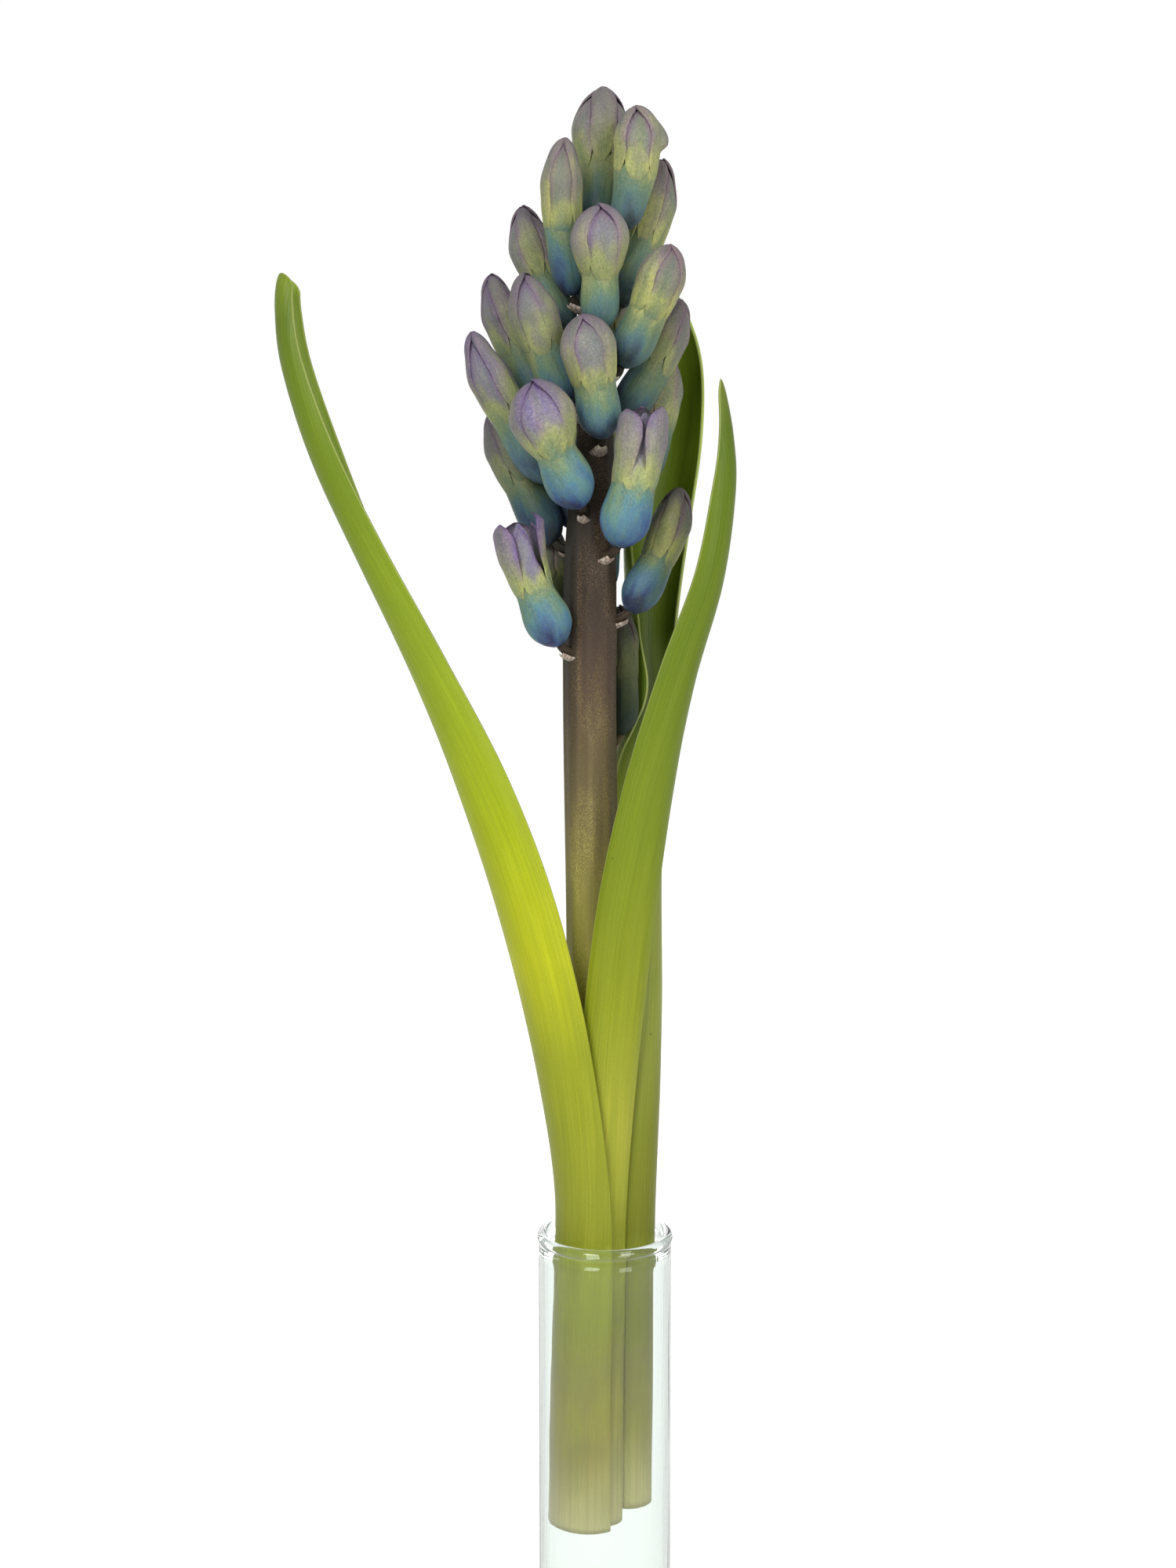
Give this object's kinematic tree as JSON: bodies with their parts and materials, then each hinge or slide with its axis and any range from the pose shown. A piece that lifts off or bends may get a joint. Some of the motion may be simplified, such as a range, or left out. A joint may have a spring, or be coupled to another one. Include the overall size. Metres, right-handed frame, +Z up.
{
  "type": "hyacinth flower",
  "caption": "Cut hyacinth stem in bud with its strap leaves, standing in a clear glass tube vase.",
  "frame": {"origin": "Centre of the flat underside of the glass tube, which stands on the surface.", "axes": "+Z up the tube and the flower stalk, -Y towards the front, +X to the right as seen from the front."},
  "size_m": [0.0813, 0.0417, 0.3027],
  "materials": {
    "glass": "clear, very slightly green-grey, polished",
    "stalk": "satin, ribbed, brown-purple above and speckled olive green below",
    "leaf": "waxy fresh green with fine parallel veins",
    "petal": "satin, blue at the foot, yellow-green in the middle, grey-lilac at the tip"
  },
  "bodies": {
    "root": {"glass_tube": "glass", "flower_stalk": "stalk", "leaf_left": "leaf", "leaf_right": "leaf", "leaf_back": "leaf", "floret_01": "petal", "floret_02": "petal", "floret_03": "petal", "floret_04": "petal", "floret_05": "petal", "floret_06": "petal", "floret_07": "petal", "floret_08": "petal", "floret_09": "petal", "floret_10": "petal", "floret_11": "petal", "floret_12": "petal", "floret_13": "petal", "floret_14": "petal", "floret_15": "petal", "floret_16": "petal", "floret_17": "petal", "floret_18": "petal", "floret_19": "petal", "floret_20": "petal", "floret_21": "petal", "floret_22": "petal", "floret_23": "petal", "floret_24": "petal", "floret_25": "petal", "floret_26": "petal"}
  },
  "joints": []
}
